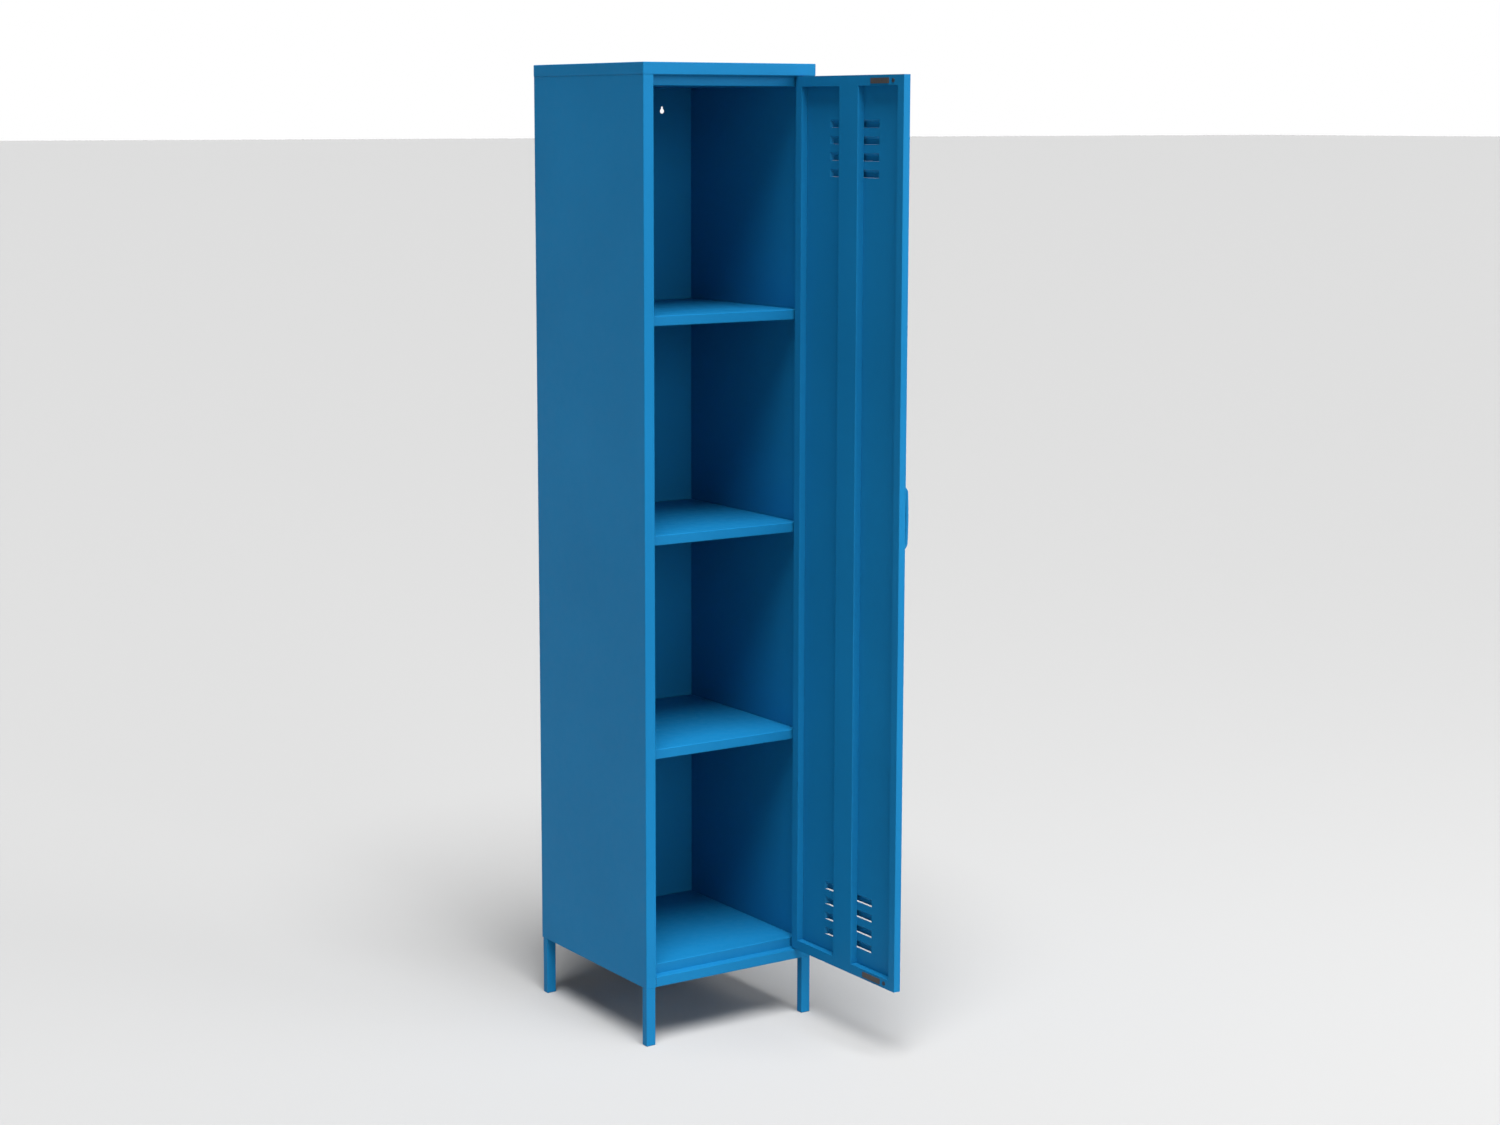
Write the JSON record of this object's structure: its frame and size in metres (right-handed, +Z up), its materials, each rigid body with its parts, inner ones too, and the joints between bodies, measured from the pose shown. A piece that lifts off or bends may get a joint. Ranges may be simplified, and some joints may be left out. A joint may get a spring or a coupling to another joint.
{
  "type": "locker cabinet",
  "caption": "Tall narrow steel locker cabinet on square legs, with inner shelves, a louvred inset door hinged on the right, magnetic catches and a bow handle.",
  "frame": {"origin": "on the floor, at the centre of the four legs' footprint (within 2 mm) and of the cabinet's width and depth", "axes": "+Z up; -Y is the door side; +X is the hinge side, on the viewer's right when facing the door; the rest pose has the door 90 degrees open"},
  "size_m": [0.3819, 0.7268, 1.85],
  "materials": {
    "powder_coat": "satin",
    "zinc_steel": "satin",
    "nylon": "matte",
    "glide_plastic": "matte",
    "magnet": "matte",
    "bumper_rubber": "matte"
  },
  "bodies": {
    "cabinet": {"top_cap": "powder_coat", "ceiling_panel": "powder_coat", "left_side_panel": "powder_coat", "right_side_panel": "powder_coat", "left_liner": "powder_coat", "right_liner": "powder_coat", "back_panel": "powder_coat", "floor_panel": "powder_coat", "lower_shelf": "powder_coat", "middle_shelf": "powder_coat", "upper_shelf": "powder_coat", "front_left_leg": "powder_coat", "front_right_leg": "powder_coat", "rear_left_leg": "powder_coat", "rear_right_leg": "powder_coat", "leg_plugs": "zinc_steel", "leg_gussets": "zinc_steel", "leg_bolts": "zinc_steel", "back_screws": "zinc_steel", "cap_screws": "zinc_steel", "lower_shelf_clips": "zinc_steel", "middle_shelf_clips": "zinc_steel", "upper_shelf_clips": "zinc_steel", "foot_glides": "glide_plastic", "upper_hinge_bush": "nylon", "lower_hinge_bush": "nylon"},
    "door": {"door_panel": "powder_coat", "door_stiffener": "powder_coat", "door_handle": "powder_coat", "handle_screws": "zinc_steel", "upper_hinge_pin": "zinc_steel", "lower_hinge_pin": "zinc_steel", "upper_magnet": "magnet", "lower_magnet": "magnet", "upper_bumper": "bumper_rubber", "lower_bumper": "bumper_rubber"}
  },
  "joints": [
    {"name": "door_hinge", "type": "hinge", "parent": "cabinet", "child": "door", "pos_m": [0.1625, -0.196, 0], "axis": [0, 0, 1], "range_deg": [-90, 10]}
  ]
}
